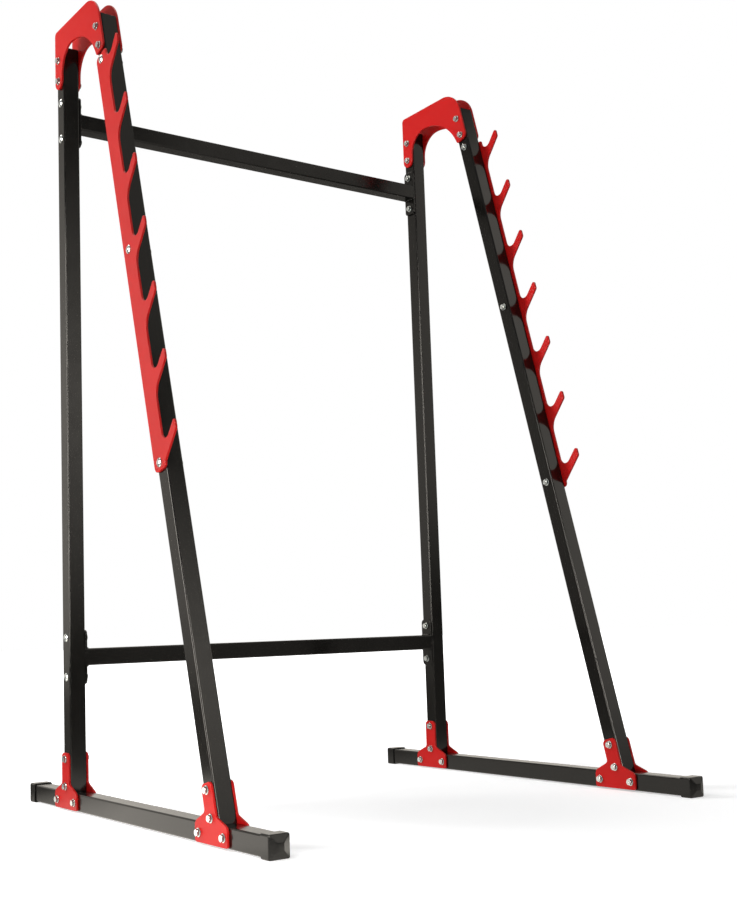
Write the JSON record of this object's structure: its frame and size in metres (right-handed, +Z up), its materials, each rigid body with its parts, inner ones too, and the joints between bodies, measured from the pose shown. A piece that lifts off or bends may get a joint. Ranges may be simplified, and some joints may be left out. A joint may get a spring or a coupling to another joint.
{
  "type": "barbell storage rack",
  "caption": "Free-standing barbell storage rack: two A-shaped side frames of square tube with hook combs on their leaning front uprights, joined by two crossbars.",
  "frame": {"origin": "on the floor, in the middle of the rack's length and depth", "axes": "+Z up; -Y is the front, where the hooks point and the barbells go in; +X is to the right of someone who faces the hooks from the front"},
  "size_m": [1.186, 1.1792, 1.9454],
  "materials": {
    "black": "satin black powder coat",
    "red": "satin red powder coat",
    "plastic": "semi-gloss black plastic",
    "zinc": "bright zinc plate"
  },
  "bodies": {
    "root": {"left_bracket_bolt_front_lower": "zinc", "left_bracket_bolt_front_upper": "zinc", "left_bracket_bolt_rear_lower": "zinc", "left_bracket_bolt_rear_upper": "zinc", "left_foot_cap_front": "plastic", "left_foot_cap_rear": "plastic", "left_foot_tube": "black", "left_front_gusset_bolt_back": "zinc", "left_front_gusset_bolt_front": "zinc", "left_front_gusset_bolt_neck": "zinc", "left_front_gusset_bolt_top": "zinc", "left_front_gusset_inner": "red", "left_front_gusset_outer": "red", "left_front_upright": "black", "left_hook_comb": "red", "left_lower_crossbar_bolt_lower": "zinc", "left_lower_crossbar_bolt_upper": "zinc", "left_rear_gusset_bolt_back": "zinc", "left_rear_gusset_bolt_front": "zinc", "left_rear_gusset_bolt_neck": "zinc", "left_rear_gusset_bolt_top": "zinc", "left_rear_gusset_inner": "red", "left_rear_gusset_outer": "red", "left_rear_upright": "black", "left_top_bracket_inner": "red", "left_top_bracket_outer": "red", "left_upper_crossbar_bolt_lower": "zinc", "left_upper_crossbar_bolt_upper": "zinc", "lower_crossbar": "black", "right_bracket_bolt_front_lower": "zinc", "right_bracket_bolt_front_upper": "zinc", "right_bracket_bolt_rear_lower": "zinc", "right_bracket_bolt_rear_upper": "zinc", "right_foot_cap_front": "plastic", "right_foot_cap_rear": "plastic", "right_foot_tube": "black", "right_front_gusset_bolt_back": "zinc", "right_front_gusset_bolt_front": "zinc", "right_front_gusset_bolt_neck": "zinc", "right_front_gusset_bolt_top": "zinc", "right_front_gusset_inner": "red", "right_front_gusset_outer": "red", "right_front_upright": "black", "right_hook_comb": "red", "right_lower_crossbar_bolt_lower": "zinc", "right_lower_crossbar_bolt_upper": "zinc", "right_rear_gusset_bolt_back": "zinc", "right_rear_gusset_bolt_front": "zinc", "right_rear_gusset_bolt_neck": "zinc", "right_rear_gusset_bolt_top": "zinc", "right_rear_gusset_inner": "red", "right_rear_gusset_outer": "red", "right_rear_upright": "black", "right_top_bracket_inner": "red", "right_top_bracket_outer": "red", "right_upper_crossbar_bolt_lower": "zinc", "right_upper_crossbar_bolt_upper": "zinc", "upper_crossbar": "black"}
  },
  "joints": []
}
